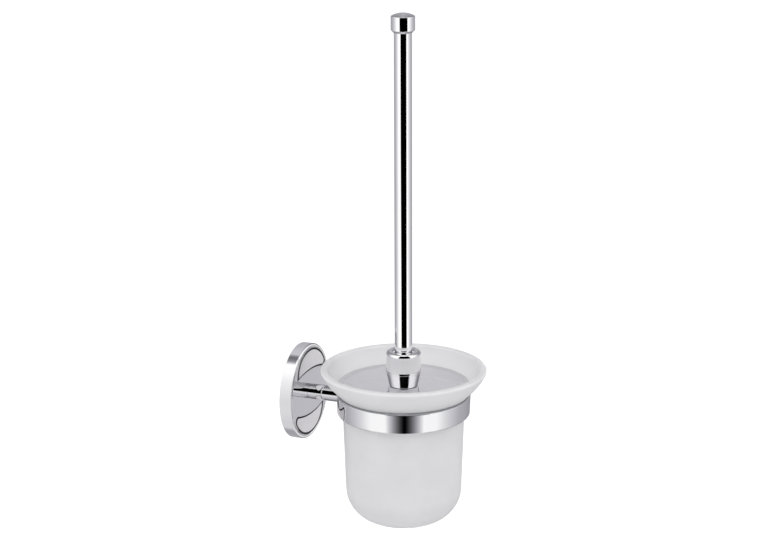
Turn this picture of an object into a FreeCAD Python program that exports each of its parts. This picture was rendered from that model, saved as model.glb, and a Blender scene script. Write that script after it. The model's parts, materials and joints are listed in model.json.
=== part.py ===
"""Wall-hung toilet brush holder: rosette, arm, ring, frosted cup, lid and brush.

Millimetres. The wall is the plane y = 0 and the holder stands out along -Y.
+Z is up. The origin is the centre of the wall bracket's back face, on the arm's axis.
"""
import FreeCAD, Part
import math
import os

Vec = FreeCAD.Vector
X_AXIS = Vec(1, 0, 0)
Y_AXIS = Vec(0, 1, 0)
Z_AXIS = Vec(0, 0, 1)

# ---------------------------------------------------------------- driving dimensions
CUP_AXIS_Y = -78.6        # upright axis shared by the ring, cup, lid and brush
FIT = 0.03                # radial gap of a screw or plug that is fixed in its hole
RUNNING = 0.08            # radial gap of the stud that turns in the lid
REST_GAP = 0.1            # axial play between pieces that turn on each other

ROSETTE_R = 33.4          # round cover on the wall
ROSETTE_DEPTH = 8.6       # from the wall to the front of the rim bead
ROSETTE_WALL = 1.8
WEB_BACK = 5.9            # the web that carries the arm, depth of its back face
WEB_FRONT = 7.5           # and of its front face
FACE_R = 31.0             # polished faceplate set in the rim
FACE_RECESS_R = 31.35
FACE_APEX = 9.3           # depth of the faceplate's slightly domed front at its centre
FACE_EDGE = 8.75          # and at its edge
FACE_ROUND = 0.6          # rounding of that edge
POCKET_DEPTH = 8.2        # floor of the pockets for the leaves
ENAMEL_SUNK = 0.12        # the enamel lines lie below the polished face

BRACKET_R_WALL = 20.6     # the bracket is wider in front, so the grub screw draws it in
BRACKET_R_FRONT = 22.0
BRACKET_T = 5.0
BRACKET_WEB = 1.5         # closed back behind the screw pocket
BRACKET_POCKET_R = 8.5
WALL_HOLE_R = 2.3
WALL_HOLE_SPACING = 30.0
WALL_HEAD_R = 4.4

ARM_R = 5.25
ARM_GROOVE = 0.45         # depth of the fine groove where the arm leaves the faceplate
ARM_GROOVE_W = 0.6
M6_R = 3.0
M5_R = 2.5
M4_R = 2.0

RING_R_TOP = 46.1
RING_R_BOTTOM = 45.5
RING_BORE_R = 44.0
RING_SEAT = 1.5           # bevel inside the top edge, where the flared bowl rests
RING_H = 13.5

RING_SCREW_HEAD_R = 3.9
RING_SCREW_SUNK = 0.1     # the screw's head lies below the ring's bore

GASKET_R = 42.55          # inside of the liner, next to the glass
GASKET_BOTTOM_Z = -5.6
GASKET_LIP = 0.75         # height of the lip that shows over the ring

RIM_Z = 25.3              # top of the glass
CUP_BOTTOM_Z = -84.2
GLASS_FLOOR = 4.0

LID_R = 45.25
LID_TOP_Z = 13.0
LID_T = 1.2
LID_LIP = 0.9             # the sloping border rises this much to the edge
LID_BORDER = 4.2
WASHER_T = 1.0

TUBE_R = 6.0
TUBE_WALL = 0.8
TUBE_BOTTOM_Z = 16.3
TUBE_TOP_Z = 264.5
CAP_R = 8.05
CAP_BOTTOM_Z = 256.9
CAP_SHOULDER_Z = 267.8
CAP_APEX_Z = 269.9
COLLAR_TOP_Z = 37.7

CORE_R = 9.5
CORE_TOP_Z = LID_TOP_Z - LID_T - WASHER_T - REST_GAP
CORE_END_Z = -57.0
BRUSH_R = 33.0
BRUSH_TOP_Z = 2.0
BRUSH_SPLIT_Z = -50.0     # side bristles above, tip bristles below
BRUSH_BOTTOM_Z = -70.0
SOFT_GAP = 0.3


# ---------------------------------------------------------------- helpers
def toward(a, b, distance):
    """The point at a distance from a on the way to b."""
    step = b.sub(a)
    return a.add(step.multiply(distance / step.Length))


def rounded_edges(points):
    """Edges of a closed outline in the XZ plane.

    Each point is (x, z) or (x, z, radius), where the radius rounds that corner.
    """
    corners = [Vec(p[0], 0, p[1]) for p in points]
    radii = [p[2] if len(p) > 2 else 0.0 for p in points]
    starts = []
    arcs = []
    count = len(points)
    for i, corner in enumerate(corners):
        radius = radii[i]
        if not radius:
            starts.append((corner, corner))
            arcs.append(None)
            continue
        before = corners[i - 1]
        after = corners[(i + 1) % count]
        to_before = toward(corner, before, 1.0).sub(corner)
        to_after = toward(corner, after, 1.0).sub(corner)
        half = to_before.getAngle(to_after) / 2
        reach = radius / math.tan(half)
        first = toward(corner, before, reach)
        last = toward(corner, after, reach)
        centre = toward(corner, corner.add(to_before).add(to_after), radius / math.sin(half))
        middle = toward(centre, corner, radius)
        starts.append((first, last))
        arcs.append(Part.Arc(first, middle, last).toShape())
    edges = []
    for i in range(count):
        if arcs[i]:
            edges.append(arcs[i])
        leave = starts[i][1]
        arrive = starts[(i + 1) % count][0]
        if leave.distanceToPoint(arrive) > 1e-6:
            edges.append(Part.LineSegment(leave, arrive).toShape())
    return edges


def turned(points):
    """A solid turned about the cup's upright axis, from an outline of (radius, z)."""
    face = Part.Face(Part.Wire(rounded_edges(points)))
    solid = face.revolve(Vec(0, 0, 0), Z_AXIS, 360)
    solid.translate(Vec(0, CUP_AXIS_Y, 0))
    return solid


def turned_on_wall(points):
    """A solid turned about the arm's axis, from an outline of (radius, depth from the wall)."""
    face = Part.Face(Part.Wire(rounded_edges(points)))
    solid = face.revolve(Vec(0, 0, 0), Z_AXIS, 360)
    solid.rotate(Vec(0, 0, 0), X_AXIS, 90)
    return solid


def rod(radius, depth_from, depth_to, x=0.0, z=0.0):
    """A cylinder along the arm's direction, between two depths from the wall."""
    return Part.makeCylinder(radius, depth_to - depth_from, Vec(x, -depth_from, z), Vec(0, -1, 0))


def upright(radius, z_from, z_to, x=0.0, y=CUP_AXIS_Y):
    """A cylinder along +Z."""
    return Part.makeCylinder(radius, z_to - z_from, Vec(x, y, z_from), Z_AXIS)


def hex_socket(across_flats, length):
    """A hexagonal prism along +Z from the origin, for a key socket."""
    corner_r = across_flats / math.sqrt(3)
    corners = [
        Vec(corner_r * math.cos(math.radians(60 * i)), corner_r * math.sin(math.radians(60 * i)), 0)
        for i in range(7)
    ]
    return Part.Face(Part.makePolygon(corners)).extrude(Vec(0, 0, length))


def meet(centre_a, radius_a, centre_b, radius_b, side):
    """Where two circles in the XZ plane cross; side -1 is the crossing with lower x."""
    between = centre_b.sub(centre_a)
    gap = between.Length
    along = (gap ** 2 + radius_a ** 2 - radius_b ** 2) / (2 * gap)
    across = math.sqrt(radius_a ** 2 - along ** 2)
    foot = toward(centre_a, centre_b, along)
    normal = Vec(-between.z, 0, between.x).multiply(across / gap)
    crossings = sorted([foot.add(normal), foot.sub(normal)], key=lambda p: p.x)
    return crossings[0] if side < 0 else crossings[1]


def circle_arc(centre, radius, start, end):
    """The shorter arc of a circle between two of its points."""
    halfway = start.add(end).multiply(0.5)
    return Part.Arc(start, toward(centre, halfway, radius), end).toShape()


# ---------------------------------------------------------------- wall fixing
def wall_bracket():
    """Round bracket screwed to the wall; its flared edge holds the cover's grub screw."""
    body = turned_on_wall([
        (0, 0),
        (BRACKET_R_WALL, 0, 0.4),
        (BRACKET_R_FRONT, BRACKET_T, 0.5),
        (BRACKET_POCKET_R, BRACKET_T, 0.4),
        (BRACKET_POCKET_R, BRACKET_WEB),
        (0, BRACKET_WEB),
    ])
    for side in (-1, 1):
        x = side * WALL_HOLE_SPACING / 2
        body = body.cut(rod(WALL_HOLE_R, -1, BRACKET_T + 1, x))
        sink = Part.makeCone(
            WALL_HOLE_R, WALL_HEAD_R, WALL_HEAD_R - WALL_HOLE_R,
            Vec(x, -BRACKET_T + WALL_HEAD_R - WALL_HOLE_R, 0), Vec(0, -1, 0))
        body = body.cut(sink)
    return body


GRUB_Y = -3.2             # the grub screw's height above the wall
BOSS_TOP_Z = -24.5


def rosette_cover():
    """Chromed cover: a side wall with a rounded rim bead, a web for the arm and a boss below."""
    inner_r = ROSETTE_R - ROSETTE_WALL
    shell = turned_on_wall([
        (inner_r, 0, 0.3),
        (ROSETTE_R, 0, 0.4),
        (ROSETTE_R, ROSETTE_DEPTH, 1.3),
        (FACE_RECESS_R, ROSETTE_DEPTH, 0.75),
        (FACE_RECESS_R, WEB_FRONT),
        (M6_R + 0.2, WEB_FRONT),
        (M6_R + 0.2, WEB_BACK),
        (inner_r, WEB_BACK, 0.8),
    ])
    boss_w = 9.0
    boss_gap = 0.6
    boss = Part.makeBox(
        boss_w, WEB_BACK - boss_gap + 0.5, inner_r + 0.5 + BOSS_TOP_Z,
        Vec(-boss_w / 2, -WEB_BACK - 0.5, -inner_r - 0.5))
    shell = shell.fuse(boss).removeSplitter()
    tapped = upright(M5_R + FIT, -ROSETTE_R - 1, BOSS_TOP_Z + 1, 0, GRUB_Y)
    return shell.cut(tapped)


def rosette_grub_screw():
    """M5 set screw with a cone point that bears on the bracket's flared edge."""
    head_z = -ROSETTE_R + 1.2
    cone_z = -23.4
    tip_z = -21.75
    tip_r = 0.7
    socket_depth = 3.0
    shank = upright(M5_R, head_z, cone_z, 0, GRUB_Y)
    point = Part.makeCone(M5_R, tip_r, tip_z - cone_z, Vec(0, GRUB_Y, cone_z), Z_AXIS)
    socket = hex_socket(2.5, socket_depth)
    socket.translate(Vec(0, GRUB_Y, head_z))
    return shank.fuse(point).removeSplitter().cut(socket)


# ---------------------------------------------------------------- faceplate and its leaves
# One leaf is drawn above the arm; the other is the same leaf turned by half a turn.
# line: the outside of the enamel line; field: its inside, which is the leaf itself.
LEAF_LINE = {
    "rim_r": 30.4,
    "corner_r": 3.2,
    "shoulder": (-6.0, 12.9),
    "vein": (-3.05, -67.8),
    "vein_r": 83.6,
}
LEAF_FIELD = {
    "rim_r": 29.1,
    "corner_r": 2.4,
    "shoulder": (-4.2, 12.7),
    "vein": (-1.85, -67.8),
    "vein_r": 84.6,
}
LEAF_DEPTH = 3.0          # the leaf prism reaches through the plate's front


def face_ball(sunk=0.0):
    """Large ball whose surface is the faceplate's domed front."""
    bulge = FACE_APEX - FACE_EDGE
    ball_r = (FACE_R ** 2 + bulge ** 2) / (2 * bulge)
    return Part.makeSphere(ball_r - sunk, Vec(0, ball_r - FACE_APEX, 0))


def leaf_prism(outline, half_turn):
    """A leaf extruded from the pocket floor through the faceplate's front."""
    origin = Vec(0, 0, 0)
    rim_r = outline["rim_r"]
    corner_r = outline["corner_r"]
    vein_r = outline["vein_r"]
    shoulder = Vec(outline["shoulder"][0], 0, outline["shoulder"][1])
    vein = Vec(outline["vein"][0], 0, outline["vein"][1])
    shoulder_r = rim_r - shoulder.Length
    cusp = meet(shoulder, shoulder_r, vein, vein_r, -1)
    joint = toward(origin, shoulder, rim_r)
    corner = meet(origin, rim_r - corner_r, vein, vein_r + corner_r, 1)
    on_rim = toward(origin, corner, rim_r)
    on_vein = toward(vein, corner, vein_r)
    wire = Part.Wire([
        circle_arc(shoulder, shoulder_r, cusp, joint),
        circle_arc(origin, rim_r, joint, on_rim),
        circle_arc(corner, corner_r, on_rim, on_vein),
        circle_arc(vein, vein_r, on_vein, cusp),
    ])
    prism = Part.Face(wire).extrude(Vec(0, -LEAF_DEPTH, 0))
    prism.translate(Vec(0, -POCKET_DEPTH, 0))
    if half_turn:
        prism.rotate(origin, Y_AXIS, 180)
    return prism


def rosette_faceplate():
    """Polished, slightly domed disc in the rim, with a pocket for each leaf."""
    plate = rod(FACE_R, WEB_FRONT, FACE_APEX + 1).common(face_ball())
    front_edge = [e for e in plate.Edges if e.Length > FACE_R and e.BoundBox.YMax < -WEB_FRONT - 0.5]
    plate = plate.makeFillet(FACE_ROUND, front_edge)
    plate = plate.cut(rod(ARM_R + 0.05, WEB_FRONT - 1, FACE_APEX + 2))
    for half_turn in (False, True):
        plate = plate.cut(leaf_prism(LEAF_LINE, half_turn))
    return plate


def enamel_line(half_turn):
    """Black enamel that fills the groove round one leaf."""
    line = leaf_prism(LEAF_LINE, half_turn).cut(leaf_prism(LEAF_FIELD, half_turn))
    return line.common(face_ball(ENAMEL_SUNK))


def leaf_panel(half_turn):
    """Satin leaf inside the enamel line, flush with the polished face."""
    return leaf_prism(LEAF_FIELD, half_turn).common(face_ball())


# ---------------------------------------------------------------- arm and ring
ARM_SCREW_HEAD_T = 3.0
LOCK_WASHER_T = 1.2
ARM_SCREW_END = 20.0
RING_SCREW_END = 21.5
RING_SCREW_FACE = -CUP_AXIS_Y - RING_BORE_R - RING_SCREW_SUNK


def arm():
    """Round arm, tapped at both ends, with a fine groove at its root and its end shaped to the ring."""
    ring_face = -CUP_AXIS_Y - RING_R_TOP
    body = rod(ARM_R, WEB_FRONT, ring_face + 2)
    body = body.cut(upright(RING_R_TOP, -20, 20))
    groove_from = FACE_APEX + 0.1
    groove = rod(ARM_R + 1, groove_from, groove_from + ARM_GROOVE_W)
    body = body.cut(groove.cut(rod(ARM_R - ARM_GROOVE, FACE_APEX, FACE_APEX + 2)))
    body = body.cut(rod(M6_R + FIT, WEB_FRONT - 1, ARM_SCREW_END + 0.5))
    return body.cut(rod(M4_R + FIT, RING_SCREW_END - 0.5, ring_face + 3))


def arm_screw():
    """M6 screw from behind the web into the arm, with a hex socket in its head."""
    head_front = WEB_BACK - LOCK_WASHER_T
    head_back = head_front - ARM_SCREW_HEAD_T
    head = rod(5.2, head_back, head_front).fuse(rod(M6_R, head_front, ARM_SCREW_END))
    socket = hex_socket(4.0, 2.0)
    socket.rotate(Vec(0, 0, 0), X_AXIS, 90)
    socket.translate(Vec(0, -head_back, 0))
    return head.removeSplitter().cut(socket)


def lock_washer():
    """Split spring washer under the arm screw's head."""
    ring = rod(5.8, WEB_BACK - LOCK_WASHER_T, WEB_BACK).cut(rod(M6_R + 0.15, 0, WEB_FRONT))
    slit = Part.makeBox(0.8, LOCK_WASHER_T, 4, Vec(-0.4, -WEB_BACK, 2.5))
    return ring.cut(slit)


def ring_screw():
    """M4 countersunk screw from inside the ring into the arm."""
    head_t = RING_SCREW_HEAD_R - M4_R
    head_at = Vec(0, -RING_SCREW_FACE, 0)
    head = Part.makeCone(RING_SCREW_HEAD_R, M4_R, head_t, head_at, Y_AXIS)
    shank = rod(M4_R, RING_SCREW_END, RING_SCREW_FACE - head_t)
    socket = hex_socket(2.5, 1.6)
    socket.rotate(Vec(0, 0, 0), X_AXIS, -90)
    socket.translate(head_at)
    return head.fuse(shank).removeSplitter().cut(socket)


def support_ring():
    """Ring band that carries the cup, narrowing slightly downwards, with a bevelled seat."""
    half = RING_H / 2
    band = turned([
        (RING_BORE_R, -half, 0.4),
        (RING_R_BOTTOM, -half, 0.7),
        (RING_R_TOP, half, 0.4),
        (RING_BORE_R + RING_SEAT, half),
        (RING_BORE_R, half - RING_SEAT),
    ])
    sink = Part.makeCone(
        RING_SCREW_HEAD_R + FIT, M4_R + FIT, RING_SCREW_HEAD_R - M4_R,
        Vec(0, -RING_SCREW_FACE, 0), Y_AXIS)
    outside = rod(M4_R + FIT, RING_SCREW_FACE - 4, RING_SCREW_FACE)
    inside = rod(RING_SCREW_HEAD_R + FIT, RING_SCREW_FACE, RING_SCREW_FACE + 2)
    return band.cut(sink).cut(outside).cut(inside)


def cup_gasket():
    """Soft liner between the ring and the glass, with a lip that stands out over the seat."""
    outer_r = RING_BORE_R - FIT
    seat_z = RING_H / 2 - RING_SEAT
    lip_r = outer_r + RING_SEAT
    lip_z = seat_z + RING_SEAT
    return turned([
        (GASKET_R, GASKET_BOTTOM_Z, 0.5),
        (outer_r, GASKET_BOTTOM_Z, 0.3),
        (outer_r, seat_z),
        (lip_r, lip_z),
        (lip_r, lip_z + GASKET_LIP, 0.15),
        (44.9, lip_z + GASKET_LIP),
        (GASKET_R, 5.13, 5.7),
    ])


# ---------------------------------------------------------------- glass cup
def glass_cup():
    """Frosted cup with a rounded foot and a flared bowl that ends in a thick round lip."""
    floor_z = CUP_BOTTOM_Z + GLASS_FLOOR
    return turned([
        (0, CUP_BOTTOM_Z),
        (39.2, CUP_BOTTOM_Z, 23.5),
        (42.2, 5.2, 6.0),
        (53.6, 16.7, 35.0),
        (58.0, RIM_Z, 1.8),
        (52.4, RIM_Z, 2.2),
        (49.5, 17.15, 32.0),
        (39.1, 6.3, 9.0),
        (36.1, floor_z, 18.5),
        (0, floor_z),
    ])


# ---------------------------------------------------------------- lid
def lid_disc():
    """Chromed lid, flat, with a sloping border that rises to a rounded edge."""
    bottom = LID_TOP_Z - LID_T
    border_r = LID_R - LID_BORDER
    hole_r = M6_R + RUNNING
    return turned([
        (hole_r, bottom),
        (border_r, bottom, 6.0),
        (LID_R, bottom + LID_LIP, 0.5),
        (LID_R, LID_TOP_Z + LID_LIP, 0.5),
        (border_r, LID_TOP_Z, 2.0),
        (hole_r, LID_TOP_Z),
    ])


def lid_washer():
    """Nylon washer under the lid."""
    top = LID_TOP_Z - LID_T
    washer = upright(8.5, top - WASHER_T, top)
    return washer.cut(upright(M6_R + RUNNING, top - 2 * WASHER_T, top + 1))


# ---------------------------------------------------------------- handle
def handle_collar():
    """Turned ferrule on the lid: a cone, a fine groove and a sleeve that takes the tube."""
    base = LID_TOP_Z + REST_GAP
    groove_z = 22.8
    return turned([
        (M6_R + FIT, base),
        (9.85, base, 0.8),
        (11.88, groove_z - 0.2),
        (11.7, groove_z - 0.1),
        (11.7, groove_z + 0.1),
        (11.92, groove_z + 0.2),
        (12.15, 24.3, 1.5),
        (11.75, COLLAR_TOP_Z, 2.4),
        (7.6, COLLAR_TOP_Z, 0.8),
        (7.1, COLLAR_TOP_Z - 2.6, 0.7),
        (TUBE_R + FIT, COLLAR_TOP_Z - 2.6),
        (TUBE_R + FIT, TUBE_BOTTOM_Z),
        (M6_R + FIT, TUBE_BOTTOM_Z),
    ])


def handle_tube():
    """Long chromed tube between the collar and the cap."""
    tube = upright(TUBE_R, TUBE_BOTTOM_Z, TUBE_TOP_Z)
    return tube.cut(upright(TUBE_R - TUBE_WALL, TUBE_BOTTOM_Z - 1, TUBE_TOP_Z + 1))


def handle_cap():
    """Cap over the top of the tube: bevelled skirt, straight side and a low dome."""
    dome_h = CAP_APEX_Z - CAP_SHOULDER_Z
    dome_r = (CAP_R ** 2 + dome_h ** 2) / (2 * dome_h)
    blank = turned([
        (0, TUBE_TOP_Z),
        (TUBE_R + FIT, TUBE_TOP_Z),
        (TUBE_R + FIT, CAP_BOTTOM_Z),
        (6.4, CAP_BOTTOM_Z, 0.15),
        (CAP_R, CAP_BOTTOM_Z + 1.65, 0.3),
        (CAP_R, CAP_APEX_Z + 1),
        (0, CAP_APEX_Z + 1),
    ])
    cap = blank.common(Part.makeSphere(dome_r, Vec(0, CUP_AXIS_Y, CAP_APEX_Z - dome_r)))
    rim = [e for e in cap.Edges if abs(e.BoundBox.ZMin - CAP_SHOULDER_Z) < 0.2
           and abs(e.BoundBox.XMax - CAP_R) < 0.01 and e.BoundBox.ZLength < 0.01]
    return cap.makeFillet(0.5, rim)


def tube_insert():
    """Threaded brass plug fixed in the foot of the tube."""
    plug = upright(TUBE_R - TUBE_WALL - FIT, TUBE_BOTTOM_Z, 32.0)
    return plug.cut(upright(M6_R + FIT, TUBE_BOTTOM_Z - 1, 33.0))


STUD_BOTTOM_Z = -8.0
STUD_TOP_Z = 28.0


def connecting_stud():
    """M6 stud from the brush core through the lid and collar into the tube's plug."""
    tip = 0.8
    return turned([
        (0, STUD_BOTTOM_Z),
        (M6_R - tip, STUD_BOTTOM_Z),
        (M6_R, STUD_BOTTOM_Z + tip),
        (M6_R, STUD_TOP_Z - tip),
        (M6_R - tip, STUD_TOP_Z),
        (0, STUD_TOP_Z),
    ])


# ---------------------------------------------------------------- brush head
def brush_core():
    """Moulded core of the brush with a socket for the stud."""
    bore_r = M6_R + FIT
    bore_z = STUD_BOTTOM_Z - 1
    return turned([
        (bore_r, CORE_TOP_Z),
        (7.5, CORE_TOP_Z, 0.6),
        (7.5, 6.0, 1.0),
        (CORE_R, 4.0, 1.0),
        (CORE_R, CORE_END_Z, 5.0),
        (0, CORE_END_Z),
        (0, bore_z),
        (bore_r, bore_z),
    ])


def side_bristles():
    """Space held by the bristles that stand out round the core."""
    return turned([
        (CORE_R + SOFT_GAP, BRUSH_SPLIT_Z),
        (BRUSH_R, BRUSH_SPLIT_Z),
        (BRUSH_R, BRUSH_TOP_Z, 5.0),
        (CORE_R + SOFT_GAP, BRUSH_TOP_Z),
    ])


def tip_bristles():
    """Space held by the bristles that fan out below the core."""
    pocket_z = CORE_END_Z - SOFT_GAP
    top_z = BRUSH_SPLIT_Z - SOFT_GAP
    return turned([
        (0, BRUSH_BOTTOM_Z),
        (BRUSH_R, BRUSH_BOTTOM_Z, 17.0),
        (BRUSH_R, top_z),
        (CORE_R + SOFT_GAP, top_z),
        (CORE_R + SOFT_GAP, pocket_z, 5.0),
        (0, pocket_z),
    ])


PARTS = {
    "wall_bracket": wall_bracket,
    "rosette_cover": rosette_cover,
    "rosette_grub_screw": rosette_grub_screw,
    "rosette_faceplate": rosette_faceplate,
    "arm": arm,
    "arm_screw": arm_screw,
    "lock_washer": lock_washer,
    "ring_screw": ring_screw,
    "support_ring": support_ring,
    "cup_gasket": cup_gasket,
    "glass_cup": glass_cup,
    "lid_disc": lid_disc,
    "lid_washer": lid_washer,
    "handle_collar": handle_collar,
    "handle_tube": handle_tube,
    "handle_cap": handle_cap,
    "tube_insert": tube_insert,
    "connecting_stud": connecting_stud,
    "brush_core": brush_core,
    "side_bristles": side_bristles,
    "tip_bristles": tip_bristles,
}

SHAPES = {name: make() for name, make in PARTS.items()}
for word, half_turn in (("upper", False), ("lower", True)):
    SHAPES["enamel_line_" + word] = enamel_line(half_turn)
    SHAPES["leaf_panel_" + word] = leaf_panel(half_turn)

os.makedirs("parts", exist_ok=True)
for name, shape in SHAPES.items():
    shape.exportStep("parts/" + name + ".step")
    box = shape.BoundBox
    print("%-20s valid %s solids %d volume %9.1f  x %7.2f %7.2f  y %7.2f %7.2f  z %7.2f %7.2f" % (
        name, shape.isValid(), len(shape.Solids), shape.Volume,
        box.XMin, box.XMax, box.YMin, box.YMax, box.ZMin, box.ZMax))
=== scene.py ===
import json
import math
import random

import bpy
from mathutils import Euler, Matrix, Vector


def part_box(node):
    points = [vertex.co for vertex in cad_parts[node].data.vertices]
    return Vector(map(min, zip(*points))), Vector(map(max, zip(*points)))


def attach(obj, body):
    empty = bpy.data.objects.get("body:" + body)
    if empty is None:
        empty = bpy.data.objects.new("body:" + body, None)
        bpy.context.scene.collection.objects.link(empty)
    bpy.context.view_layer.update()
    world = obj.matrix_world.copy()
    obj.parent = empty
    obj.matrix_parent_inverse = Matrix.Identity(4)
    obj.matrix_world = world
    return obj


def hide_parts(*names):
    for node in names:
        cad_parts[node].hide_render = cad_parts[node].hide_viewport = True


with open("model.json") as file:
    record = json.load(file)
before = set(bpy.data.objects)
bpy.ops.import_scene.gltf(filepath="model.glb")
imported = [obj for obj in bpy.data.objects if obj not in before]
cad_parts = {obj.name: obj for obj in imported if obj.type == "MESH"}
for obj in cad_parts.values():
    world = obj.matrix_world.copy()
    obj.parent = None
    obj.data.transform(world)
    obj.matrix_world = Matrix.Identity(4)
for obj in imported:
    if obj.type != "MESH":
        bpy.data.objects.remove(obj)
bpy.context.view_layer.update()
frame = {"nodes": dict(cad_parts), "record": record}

MM = 0.001
NODES = frame["nodes"]
TUBE_LOW, TUBE_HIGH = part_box("handle_tube")
AXIS = Vector(((TUBE_LOW.x + TUBE_HIGH.x) / 2, (TUBE_LOW.y + TUBE_HIGH.y) / 2, 0))

# ---------------------------------------------------------------- studio
CAMERA_PLACE = (-1.3946, -0.6208, 0.5180)
CAMERA_PITCH = -15.857          # degrees below the horizon
CAMERA_YAW = -68.215            # degrees, 0 looks along +Y
CAMERA_ROLL = -0.25             # degrees about the line of sight
CAMERA_LENS = 108.235           # millimetres on a 36 mm sensor
FLOOR_Z = -0.42
FLOOR_SIZE = 14.0
FLOOR_GREY = 0.9
FLOOR_GLOW = 0.17               # keeps the floor white up to its far edge
ROOM_LIGHT = 1.04               # plain light of the room on matt surfaces
KEY_PLACE = (-0.9, -0.55, 2.25)
KEY_AIM = (0, -0.08, 0)
KEY_SIZE = 1.8
KEY_POWER = 12.0                # watts
TENT_RADIUS = 3.0
TENT_STEP = 0.3                 # each further tent stands this much outside the last
TENT_TURN = 201.23              # degrees; the tent's own +X faces this way
WALL_MIRROR = 21.2              # degrees; -X, which lies in the wall's plane, is at minus this turn
REFLECTED_WHITE = 1.16          # brightest wall of a tent


def put_in_scene(obj):
    bpy.context.scene.collection.objects.link(obj)
    return obj


def make_camera():
    data = bpy.data.cameras.new("camera")
    data.lens = CAMERA_LENS
    data.sensor_width = 36.0
    camera = put_in_scene(bpy.data.objects.new("camera", data))
    camera.location = CAMERA_PLACE
    turn = Euler((math.radians(90 + CAMERA_PITCH), 0, math.radians(CAMERA_YAW))).to_matrix()
    turn = turn @ Matrix.Rotation(math.radians(CAMERA_ROLL), 3, "Z")
    camera.rotation_euler = turn.to_euler()
    bpy.context.scene.camera = camera


def make_world():
    """Even white light on matt surfaces; mirrors see the tents instead."""
    world = bpy.data.worlds.new("room")
    bpy.context.scene.world = world
    world.use_nodes = True
    background = world.node_tree.nodes["Background"]
    background.inputs["Color"].default_value = (1.0, 1.0, 1.0, 1.0)
    background.inputs["Strength"].default_value = ROOM_LIGHT
    world.cycles_visibility.glossy = False


def make_floor():
    """Plain pale floor, which mirrors don't see."""
    half = FLOOR_SIZE / 2
    mesh = bpy.data.meshes.new("floor")
    corners = [(-half, -half, 0), (half, -half, 0), (half, half, 0), (-half, half, 0)]
    mesh.from_pydata(corners, [], [(0, 1, 2, 3)])
    floor = put_in_scene(bpy.data.objects.new("floor", mesh))
    floor.location.z = FLOOR_Z
    floor.visible_glossy = False
    paint = bpy.data.materials.new("floor_paper")
    paint.use_nodes = True
    shader = paint.node_tree.nodes["Principled BSDF"]
    shader.inputs["Base Color"].default_value = (FLOOR_GREY, FLOOR_GREY, FLOOR_GREY, 1.0)
    shader.inputs["Roughness"].default_value = 0.9
    shader.inputs["Emission Color"].default_value = (1.0, 1.0, 1.0, 1.0)
    shader.inputs["Emission Strength"].default_value = FLOOR_GLOW
    mesh.materials.append(paint)


def make_key_light():
    data = bpy.data.lights.new("key", "AREA")
    data.shape = "SQUARE"
    data.size = KEY_SIZE
    data.energy = KEY_POWER
    light = put_in_scene(bpy.data.objects.new("key", data))
    light.location = KEY_PLACE
    light.rotation_euler = (Vector(KEY_AIM) - Vector(KEY_PLACE)).to_track_quat("-Z", "Y").to_euler()
    light.visible_glossy = False
    light.visible_camera = False


# ---------------------------------------------------------------- node helpers
class Graph:
    """Short ways to add and join shader nodes."""

    def __init__(self, tree):
        self.nodes = tree.nodes
        self.links = tree.links

    def plug(self, socket, value):
        """Feed a socket from another socket, or give it a plain number."""
        if isinstance(value, bpy.types.NodeSocket):
            self.links.new(value, socket)
        else:
            socket.default_value = value

    def math(self, operation, a, b=0.0):
        node = self.nodes.new("ShaderNodeMath")
        node.operation = operation
        self.plug(node.inputs[0], a)
        self.plug(node.inputs[1], b)
        return node.outputs[0]

    def product(self, *factors):
        result = factors[0]
        for factor in factors[1:]:
            result = self.math("MULTIPLY", result, factor)
        return result

    def between(self, value, low, high, out_low=0.0, out_high=1.0, smooth=True):
        """out_low at low, out_high at high, and held level past both ends."""
        node = self.nodes.new("ShaderNodeMapRange")
        node.interpolation_type = "SMOOTHSTEP" if smooth else "LINEAR"
        for socket, number in zip(node.inputs[:5], (value, low, high, out_low, out_high)):
            self.plug(socket, number)
        return node.outputs[0]

    def window(self, value, low, full_low, full_high, high):
        """1 from full_low to full_high, and down to 0 at low and at high."""
        return self.product(self.between(value, low, full_low),
                            self.between(value, full_high, high, 1.0, 0.0))

    def ramp(self, value, stops):
        """Straight steps between stops of (place, grey level or colour)."""
        node = self.nodes.new("ShaderNodeValToRGB")
        node.color_ramp.interpolation = "LINEAR"
        elements = node.color_ramp.elements
        while len(elements) < len(stops):
            elements.new(0.5)
        for element, (place, level) in zip(elements, stops):
            element.position = place
            colour = level if isinstance(level, tuple) else (level, level, level)
            element.color = (*colour, 1.0)
        self.plug(node.inputs["Fac"], value)
        return node.outputs["Color"]

    def mix(self, factor, a, b):
        node = self.nodes.new("ShaderNodeMix")
        node.data_type = "FLOAT"
        self.plug(node.inputs["Factor"], factor)
        self.plug(node.inputs["A"], a)
        self.plug(node.inputs["B"], b)
        return node.outputs["Result"]

    def noise(self, scale, detail=3.0, stretch=None):
        coords = self.nodes.new("ShaderNodeTexCoord").outputs["Object"]
        if stretch:
            mapping = self.nodes.new("ShaderNodeMapping")
            mapping.inputs["Scale"].default_value = stretch
            self.links.new(coords, mapping.inputs["Vector"])
            coords = mapping.outputs["Vector"]
        node = self.nodes.new("ShaderNodeTexNoise")
        node.inputs["Scale"].default_value = scale
        node.inputs["Detail"].default_value = detail
        node.inputs["Roughness"].default_value = 0.55
        self.links.new(coords, node.inputs["Vector"])
        return node.outputs["Fac"]


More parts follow.
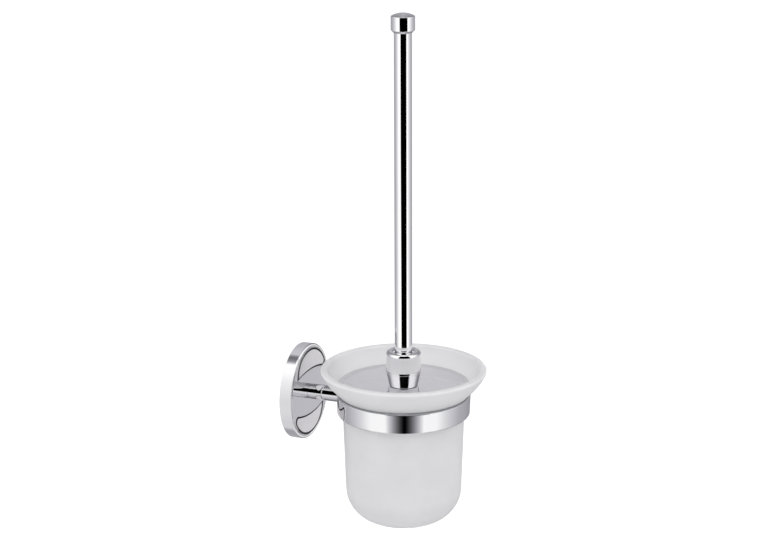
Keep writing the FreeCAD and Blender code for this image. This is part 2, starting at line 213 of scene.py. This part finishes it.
# ---------------------------------------------------------------- reflected light tents
# A wall pattern takes a direction from the tent's middle, in degrees: turn is about Z from the
# tent's own front, height is above the horizon. Its levels are shares of REFLECTED_WHITE.
def tent_shader(name, pattern, radius):
    """Emission that depends on the direction from the middle of the tent."""
    paint = bpy.data.materials.new(name)
    paint.use_nodes = True
    graph = Graph(paint.node_tree)
    graph.nodes.clear()
    place = graph.nodes.new("ShaderNodeTexCoord").outputs["Object"]
    split = graph.nodes.new("ShaderNodeSeparateXYZ")
    graph.links.new(place, split.inputs[0])
    x, y, z = split.outputs
    turn = graph.math("DEGREES", graph.math("ARCTAN2", y, x))
    height = graph.math("DEGREES", graph.math("ARCSINE", graph.math("DIVIDE", z, radius)))
    level = pattern(graph, turn, height)
    tint = graph.nodes.new("ShaderNodeMix")
    tint.data_type = "RGBA"
    graph.plug(tint.inputs["Factor"], graph.between(level, 0.35, 1.0))
    tint.inputs["A"].default_value = (0.965, 0.955, 1.03, 1.0)
    tint.inputs["B"].default_value = (1.0, 1.0, 1.0, 1.0)
    glow = graph.nodes.new("ShaderNodeEmission")
    graph.links.new(tint.outputs["Result"], glow.inputs["Color"])
    graph.plug(glow.inputs["Strength"], level)
    clear = graph.nodes.new("ShaderNodeBsdfTransparent")
    both = graph.nodes.new("ShaderNodeAddShader")
    graph.links.new(glow.outputs[0], both.inputs[0])
    graph.links.new(clear.outputs[0], both.inputs[1])
    out = graph.nodes.new("ShaderNodeOutputMaterial")
    graph.links.new(both.outputs[0], out.inputs["Surface"])
    paint.cycles.emission_sampling = "NONE"
    return paint


def dark_gap(graph, turn, height, middle, half_size, darkest):
    """A soft oval, high up, where front wall and back wall don't meet."""
    across = graph.math("DIVIDE", graph.math("SUBTRACT", turn, middle[0]), half_size[0])
    up = graph.math("DIVIDE", graph.math("SUBTRACT", height, middle[1]), half_size[1])
    oval = graph.math("ADD", graph.product(across, across), graph.product(up, up))
    return graph.between(oval, 0.0, 1.0, darkest, 1.0)


def studio_card(graph, turn, height):
    """A black card with sharp sides, and a foot that feathers out."""
    left = graph.between(height, -9.5, -17.5, -31.8, -25.0, smooth=False)
    right, top, foot, middle = 43.2, 62.0, -19.0, 1.6
    card = graph.product(
        graph.between(graph.math("SUBTRACT", turn, left), -1.0, 1.0),
        graph.between(turn, right, right + 2.0, 1.0, 0.0),
        graph.between(height, top, top + 4.0, 1.0, 0.0),
        graph.between(height, foot - 2.0, foot))
    off_centre = graph.math("ABSOLUTE", graph.math("SUBTRACT", turn, middle))
    off_centre = graph.math("MINIMUM", graph.math("DIVIDE", off_centre, 34.0), 1.0)
    feather = graph.product(
        graph.math("SUBTRACT", 1.0, graph.math("POWER", off_centre, 2.0)),
        graph.between(height, foot, foot - 2.0))
    return graph.math("MAXIMUM", card, feather)


def studio_walls(graph, turn, height):
    """White in front, grey behind, one black card in front."""
    away = graph.math("DIVIDE", graph.math("ABSOLUTE", turn), 180.0)
    low = graph.ramp(away, [(0.0, 1.0), (0.33, 0.97), (0.43, 0.72), (0.51, 0.58), (0.62, 0.43),
                            (0.72, 0.39), (0.86, 0.31), (1.0, 0.37)])
    high = graph.ramp(away, [(0.0, 1.0), (0.33, 1.0), (0.50, 0.90), (0.68, 0.26), (0.88, 0.26),
                             (1.0, 0.40)])
    return graph.product(
        graph.mix(graph.between(height, -4.0, 18.0), low, high),
        graph.between(height, -17.0, -19.0, 1.0, 0.94),
        graph.between(height, -19.0, -34.0, 1.0, 0.82),
        dark_gap(graph, turn, height, (-122.0, 66.0), (46.0, 15.0), 0.28),
        graph.math("SUBTRACT", 1.0, studio_card(graph, turn, height)),
        REFLECTED_WHITE)


def arm_walls(graph, turn, height):
    """The room for arm and faceplate, with a black card level with them.

    It is the same on both sides of the wall's plane, so the faceplate mirrors it onto the arm
    without a seam. Only the patch that the faceplate itself shows is darker.
    """
    off_wall = graph.math("ABSOLUTE", graph.math("ADD", turn, WALL_MIRROR))
    fold = graph.math("SUBTRACT", -WALL_MIRROR, off_wall)
    card = graph.product(graph.window(height, -7.0, -5.0, 49.0, 51.0),
                         graph.between(fold, -80.0, -75.0))
    walls = graph.product(
        graph.between(fold, -95.0, -60.0, 0.62, 1.0),
        graph.between(fold, -110.0, -150.0, 1.0, 0.42),
        graph.between(height, 40.0, 66.0, 1.0, 0.80),
        graph.between(height, -3.0, -60.0, 0.72, 0.46),
        graph.math("SUBTRACT", 1.0, card))
    patch = graph.product(graph.window(turn, 122.0, 128.0, 144.0, 150.0),
                          graph.window(height, -30.0, -27.0, -9.0, -6.0))
    return graph.product(graph.mix(patch, walls, 0.47), REFLECTED_WHITE)


def cover_walls(graph, turn, height):
    """The room for the rosette's cover: brighter with height, grey behind, no card."""
    rise = graph.between(height, -60.0, 60.0, smooth=False)
    return graph.product(
        graph.ramp(rise, [(0.0, 0.60), (0.19, 0.67), (0.40, 0.66), (0.58, 0.74), (0.76, 0.82),
                          (0.93, 0.97)]),
        graph.between(turn, -100.0, -140.0, 1.0, 0.55),
        graph.between(turn, 142.0, 152.0, 1.0, 0.22),
        dark_gap(graph, turn, height, (-122.0, 67.0), (40.0, 12.0), 0.25),
        REFLECTED_WHITE)


def lid_walls(graph, turn, height):
    """The studio with a paler back wall, which the flat lid mirrors to the front."""
    back = graph.product(graph.between(graph.math("ABSOLUTE", turn), 158.0, 168.0),
                         graph.window(height, 0.0, 6.0, 34.0, 44.0))
    return graph.mix(back, studio_walls(graph, turn, height), 0.69)


def soft_walls(graph, turn, height):
    """Even pale light for the satin leaves."""
    return graph.between(height, -60.0, 60.0, 0.71, 0.79)


def make_tent(name, pattern, radius, linked, include=True):
    """A large sphere that only mirror reflections see: those of the linked nodes, or all others."""
    bpy.ops.mesh.primitive_uv_sphere_add(segments=96, ring_count=64, radius=radius)
    tent = bpy.context.object
    tent.name = name
    tent.location = AXIS
    tent.rotation_euler.z = math.radians(TENT_TURN)
    tent.data.materials.append(tent_shader(name, pattern, radius))
    for kind in ("camera", "diffuse", "transmission", "volume_scatter", "shadow"):
        setattr(tent, "visible_" + kind, False)
    receivers = bpy.data.collections.new(name + "_receivers")
    for node in linked:
        receivers.objects.link(NODES[node])
    for row in receivers.collection_objects:
        row.light_linking.link_state = "INCLUDE" if include else "EXCLUDE"
    tent.light_linking.receiver_collection = receivers


OWN_TENTS = [
    ("arm_tent", arm_walls,
     ["arm", "rosette_faceplate", "enamel_line_upper", "enamel_line_lower"]),
    ("cover_tent", cover_walls, ["rosette_cover"]),
    ("soft_tent", soft_walls, ["leaf_panel_upper", "leaf_panel_lower"]),
    ("lid_tent", lid_walls, ["lid_disc"]),
]


def make_tents():
    """The studio, and round it a tent for each group of nodes that mirrors a room of its own."""
    others = [node for _, _, nodes in OWN_TENTS for node in nodes]
    make_tent("studio_tent", studio_walls, TENT_RADIUS, others, include=False)
    for step, (name, pattern, nodes) in enumerate(OWN_TENTS, 1):
        make_tent(name, pattern, TENT_RADIUS + step * TENT_STEP, nodes)


# ---------------------------------------------------------------- materials
def new_material(name, colour, metallic, roughness):
    mat = bpy.data.materials.new(name)
    mat.use_nodes = True
    graph = Graph(mat.node_tree)
    shader = graph.nodes["Principled BSDF"]
    shader.inputs["Base Color"].default_value = (*colour, 1.0)
    shader.inputs["Metallic"].default_value = metallic
    shader.inputs["Roughness"].default_value = roughness
    return mat, graph, shader


def vary_roughness(graph, shader, noise, low, high):
    """Roughness from low to high over the noise's usual span."""
    graph.plug(shader.inputs["Roughness"], graph.between(noise, 0.3, 0.7, low, high))


def vary_colour(graph, shader, noise, dark, light):
    colours = graph.ramp(noise, [(0.32, dark), (0.68, light)])
    graph.plug(shader.inputs["Base Color"], colours)


def add_bump(graph, shader, height, strength, depth):
    bump = graph.nodes.new("ShaderNodeBump")
    bump.inputs["Strength"].default_value = strength
    bump.inputs["Distance"].default_value = depth
    graph.links.new(height, bump.inputs["Height"])
    graph.links.new(bump.outputs["Normal"], shader.inputs["Normal"])


def chrome():
    """Polished plating: hardly any texture, faint haze where it was wiped."""
    mat, graph, shader = new_material("chrome_polished", (0.90, 0.90, 0.91), 1.0, 0.03)
    vary_roughness(graph, shader, graph.noise(60.0, 4.0), 0.015, 0.05)
    vary_colour(graph, shader, graph.noise(25.0), (0.885, 0.885, 0.90), (0.915, 0.912, 0.92))
    return mat


def brushed_chrome():
    """The lid's plating: a little duller, and faintly uneven in gloss and colour."""
    mat, graph, shader = new_material("chrome_lid", (0.77, 0.765, 0.785), 1.0, 0.13)
    vary_roughness(graph, shader, graph.noise(60.0, 4.0), 0.11, 0.17)
    vary_colour(graph, shader, graph.noise(30.0), (0.755, 0.75, 0.77), (0.785, 0.78, 0.80))
    return mat


def satin_chrome():
    """Pearl plating of the leaves: fine blasted grain."""
    mat, graph, shader = new_material("chrome_satin", (0.86, 0.845, 0.86), 1.0, 0.36)
    vary_roughness(graph, shader, graph.noise(900.0, 2.0), 0.30, 0.42)
    vary_colour(graph, shader, graph.noise(140.0), (0.85, 0.835, 0.85), (0.88, 0.865, 0.875))
    add_bump(graph, shader, graph.noise(5200.0, 2.0), 0.10, 0.00004)
    return mat


def enamel():
    """Gloss black filling of the groove, slightly uneven."""
    mat, graph, shader = new_material("enamel_black", (0.012, 0.012, 0.013), 0.0, 0.22)
    vary_roughness(graph, shader, graph.noise(700.0), 0.16, 0.30)
    vary_colour(graph, shader, graph.noise(400.0), (0.009, 0.009, 0.010), (0.018, 0.018, 0.020))
    add_bump(graph, shader, graph.noise(800.0, 2.0), 0.15, 0.00005)
    shader.inputs["Specular IOR Level"].default_value = 0.06
    return mat


def plated_steel():
    """Zinc plated fasteners with turning marks."""
    mat, graph, shader = new_material("steel_plated", (0.62, 0.63, 0.65), 1.0, 0.3)
    vary_roughness(graph, shader, graph.noise(1500.0), 0.22, 0.42)
    vary_colour(graph, shader, graph.noise(350.0), (0.55, 0.56, 0.59), (0.70, 0.70, 0.71))
    add_bump(graph, shader, graph.noise(900.0, 2.0, (1.0, 1.0, 6.0)), 0.2, 0.00005)
    return mat


def cast_zinc():
    """Die-cast bracket with a pebbled skin."""
    mat, graph, shader = new_material("zinc_cast", (0.50, 0.51, 0.53), 1.0, 0.5)
    vary_roughness(graph, shader, graph.noise(700.0), 0.42, 0.60)
    vary_colour(graph, shader, graph.noise(260.0), (0.42, 0.43, 0.45), (0.57, 0.58, 0.60))
    add_bump(graph, shader, graph.noise(1400.0, 4.0), 0.35, 0.0001)
    return mat


def brass():
    """Turned brass with fine tool marks."""
    mat, graph, shader = new_material("brass_turned", (0.78, 0.62, 0.32), 1.0, 0.25)
    vary_roughness(graph, shader, graph.noise(900.0), 0.18, 0.34)
    vary_colour(graph, shader, graph.noise(220.0), (0.70, 0.53, 0.25), (0.84, 0.68, 0.38))
    add_bump(graph, shader, graph.noise(600.0, 2.0, (1.0, 1.0, 9.0)), 0.2, 0.00005)
    return mat


def gasket():
    """Soft translucent grey liner with a matt skin."""
    mat, graph, shader = new_material("liner_soft", (0.30, 0.31, 0.34), 0.0, 0.55)
    vary_roughness(graph, shader, graph.noise(1300.0), 0.45, 0.65)
    vary_colour(graph, shader, graph.noise(300.0), (0.26, 0.27, 0.30), (0.34, 0.35, 0.38))
    add_bump(graph, shader, graph.noise(2500.0), 0.2, 0.00005)
    return mat


def frosted_glass():
    """Acid-etched glass: milky, with a very fine grain, faint clouds and painted shade by which way
    it faces.
    """
    mat, graph, shader = new_material("glass_frosted", (0.85, 0.844, 0.86), 0.0, 0.55)
    vary_roughness(graph, shader, graph.noise(1800.0, 2.0), 0.50, 0.62)
    # Painted shade and light: the colour is greyer where the glass faces down or straight up (the
    # bowl's outside, the foot and the top of the lip) and paler where it faces part way up (the
    # bowl's inside), as light falls on it; only the clouds are the glass's own.
    normal = graph.nodes.new("ShaderNodeNewGeometry").outputs["Normal"]
    slope = graph.nodes.new("ShaderNodeSeparateXYZ")
    graph.plug(slope.inputs["Vector"], normal)
    painted_facing_shade = graph.between(slope.outputs["Z"], -0.8, 0.8, -0.25, 0.25)
    painted_crown_shade = graph.between(slope.outputs["Z"], 0.5, 0.95, 0.0, -0.4)
    clouds = graph.between(graph.noise(42.0, 4.0), 0.3, 0.7, 0.45, 0.55)
    clouds_and_painted_shade = graph.math("ADD", clouds, graph.math("ADD", painted_facing_shade, painted_crown_shade))
    vary_colour(graph, shader, clouds_and_painted_shade, (0.78, 0.774, 0.79), (0.92, 0.914, 0.93))
    add_bump(graph, shader, graph.noise(6000.0, 2.0), 0.12, 0.00004)
    shader.inputs["Transmission Weight"].default_value = 0.35
    shader.inputs["IOR"].default_value = 1.45
    return mat


def white_plastic():
    """Moulded nylon of the core and the washer."""
    mat, graph, shader = new_material("plastic_white", (0.86, 0.86, 0.85), 0.0, 0.35)
    vary_roughness(graph, shader, graph.noise(500.0), 0.28, 0.44)
    vary_colour(graph, shader, graph.noise(120.0), (0.83, 0.83, 0.82), (0.88, 0.88, 0.87))
    add_bump(graph, shader, graph.noise(1500.0), 0.12, 0.00005)
    return mat


def nylon():
    """White filament, a little brighter or duller from one to the next."""
    mat, graph, shader = new_material("nylon_filament", (0.88, 0.88, 0.87), 0.0, 0.4)
    vary_roughness(graph, shader, graph.noise(900.0), 0.32, 0.5)
    vary_colour(graph, shader, graph.noise(650.0), (0.80, 0.80, 0.79), (0.92, 0.92, 0.91))
    shader.inputs["Subsurface Weight"].default_value = 0.15
    shader.inputs["Subsurface Scale"].default_value = 0.001
    return mat


MAKERS = {
    "chrome": chrome, "satin_chrome": satin_chrome, "black_enamel": enamel, "steel": plated_steel,
    "cast_zinc": cast_zinc, "brass": brass, "gasket": gasket, "frosted_glass": frosted_glass,
    "white_plastic": white_plastic, "bristle": nylon,
}


def dress_nodes():
    """Each CAD node gets the procedural material of its slot, and the lid a duller chrome."""
    made = {slot: make() for slot, make in MAKERS.items()}
    for row in frame["record"]["subparts"]:
        mesh = NODES[row["node"]].data
        mesh.materials.clear()
        mesh.materials.append(made[row["material_slot"]])
    lid = NODES["lid_disc"].data
    lid.materials.clear()
    lid.materials.append(brushed_chrome())
    return made


# ---------------------------------------------------------------- bristles
FILAMENT_R = 0.21 * MM
FILAMENT_TAPER = 0.25           # share of its radius that a filament loses towards the tip
FILAMENT_BEND = 1.2 * MM
LONGEST = 60.0 * MM
SHORTEST_TRIM = 0.6 * MM        # what tips stay short of the brush's outline
LONGEST_TRIM = 2.4 * MM
TUFT_R = 1.3 * MM               # a tuft where it leaves the core
SPLAY = 0.13                    # how far filaments lean apart, as a slope
PER_TUFT = 20
ROOT_DEPTH = 0.4 * MM
SIDE_ROWS = 9
TUFTS_PER_ROW = 14
TIP_RINGS = ((13, 12), (12, 38), (9, 64))   # tufts in the ring, degrees it aims down
MIDDLE_TUFTS = 5
MIDDLE_R = 2.6 * MM
TIP_CORNER = 17.0 * MM          # rounding of the brush's outline, below
TOP_CORNER = 5.0 * MM           # and above
CORE_CORNER = 5.0 * MM          # rounding of the core's end

CORE_LOW, CORE_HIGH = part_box("brush_core")
SIDE_LOW, SIDE_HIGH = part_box("side_bristles")
TIP_LOW, TIP_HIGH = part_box("tip_bristles")
CORE_R = (CORE_HIGH.x - CORE_LOW.x) / 2
BRUSH_R = (SIDE_HIGH.x - SIDE_LOW.x) / 2


def in_brush(r, z):
    """Whether a point (radius, height) lies in the space the brush may fill."""
    if r > BRUSH_R or z > SIDE_HIGH.z or z < TIP_LOW.z:
        return False
    for corner, edge_z, side in ((TIP_CORNER, TIP_LOW.z, 1), (TOP_CORNER, SIDE_HIGH.z, -1)):
        dr = r - (BRUSH_R - corner)
        dz = (edge_z + side * corner - z) * side
        if dr > 0 and dz > 0 and math.hypot(dr, dz) > corner:
            return False
    return True


def reach(start, heading):
    """How far a filament can run before it leaves the brush's space."""
    low, high = 0.0, LONGEST
    for _ in range(14):
        half = (low + high) / 2
        tip = start + heading * half
        if in_brush(math.hypot(tip.x, tip.y), tip.z):
            low = half
        else:
            high = half
    return low


def add_filament(verts, faces, start, heading, length, bend):
    """A slightly bent three-sided hair that narrows to its tip."""
    across = heading.orthogonal().normalized()
    other = heading.cross(across)
    first = len(verts)
    steps = (0.0, 0.5, 1.0)
    for share in steps:
        middle = start + heading * (length * share) + bend * (share * share)
        radius = FILAMENT_R * (1.0 - FILAMENT_TAPER * share)
        for side in range(3):
            angle = side * math.tau / 3
            offset = across * math.cos(angle) + other * math.sin(angle)
            verts.append(middle + offset * radius)
    for ring in range(len(steps) - 1):
        a = first + 3 * ring
        for side in range(3):
            b = (side + 1) % 3
            faces.append((a + side, a + b, a + 3 + b, a + 3 + side))
    end = first + 3 * (len(steps) - 1)
    faces.append((end, end + 1, end + 2))
    faces.append((first + 2, first + 1, first))


def add_tuft(verts, faces, rng, root, heading):
    """A bundle that leaves one hole of the core and splays out."""
    across = heading.orthogonal().normalized()
    other = heading.cross(across)
    for _ in range(PER_TUFT):
        angle = rng.uniform(0, math.tau)
        spread = math.sqrt(rng.random())
        lean = across * math.cos(angle) + other * math.sin(angle)
        start = root + lean * (TUFT_R * spread)
        way = (heading + lean * (SPLAY * spread * rng.uniform(0.7, 1.2))).normalized()
        bend = lean * rng.uniform(-FILAMENT_BEND, FILAMENT_BEND)
        length = reach(start, way) - rng.uniform(SHORTEST_TRIM, LONGEST_TRIM)
        tip = start + way * length + bend
        if not in_brush(math.hypot(tip.x, tip.y) + FILAMENT_R, tip.z):
            bend = Vector((0, 0, 0))
        add_filament(verts, faces, start, way, length, bend)


def bristle_piece(name, node, roots, material, seed):
    """One mesh of tufts in place of the plain CAD solid that holds their space."""
    verts, faces = [], []
    rng = random.Random(seed)
    for root, heading in roots:
        add_tuft(verts, faces, rng, root, heading)
    mesh = bpy.data.meshes.new(name)
    mesh.from_pydata([v + AXIS for v in verts], [], faces)
    mesh.materials.append(material)
    mesh.validate()
    piece = put_in_scene(bpy.data.objects.new(name, mesh))
    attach(piece, "brush")
    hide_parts(node)


def around(angle, outward, z):
    """A place or heading this far out from the brush's axis."""
    return Vector((outward * math.cos(angle), outward * math.sin(angle), z))


def side_roots():
    """Holes in staggered rows up the straight part of the core."""
    lowest = CORE_LOW.z + CORE_CORNER + 4.5 * MM
    highest = SIDE_HIGH.z - 4.0 * MM
    for row in range(SIDE_ROWS):
        z = lowest + (highest - lowest) * row / (SIDE_ROWS - 1)
        for i in range(TUFTS_PER_ROW):
            angle = (i + 0.5 * (row % 2)) * math.tau / TUFTS_PER_ROW
            root = around(angle, CORE_R - ROOT_DEPTH, z)
            yield root, around(angle, 1.0, 0.0)


def tip_roots():
    """Holes over the rounded end of the core, each ring aimed lower than the last."""
    flat_r = CORE_R - CORE_CORNER
    centre_z = CORE_LOW.z + CORE_CORNER
    root_r = CORE_CORNER - ROOT_DEPTH
    for count, dip in TIP_RINGS:
        down = math.radians(dip)
        for i in range(count):
            angle = (i + dip / 40) * math.tau / count
            outward = flat_r + root_r * math.cos(down)
            root = around(angle, outward, centre_z - root_r * math.sin(down))
            yield root, around(angle, math.cos(down), -math.sin(down))
    for i in range(MIDDLE_TUFTS):
        angle = i * math.tau / MIDDLE_TUFTS
        yield around(angle, MIDDLE_R, CORE_LOW.z + ROOT_DEPTH), around(angle, 0.25, -0.97)


# ---------------------------------------------------------------- scene
make_camera()
make_world()
make_floor()
make_key_light()
bpy.context.scene.view_settings.view_transform = "Standard"
made = dress_nodes()
make_tents()
bristle_piece("bristles_side", "side_bristles", side_roots(), made["bristle"], seed=11)
bristle_piece("bristles_tip", "tip_bristles", tip_roots(), made["bristle"], seed=12)
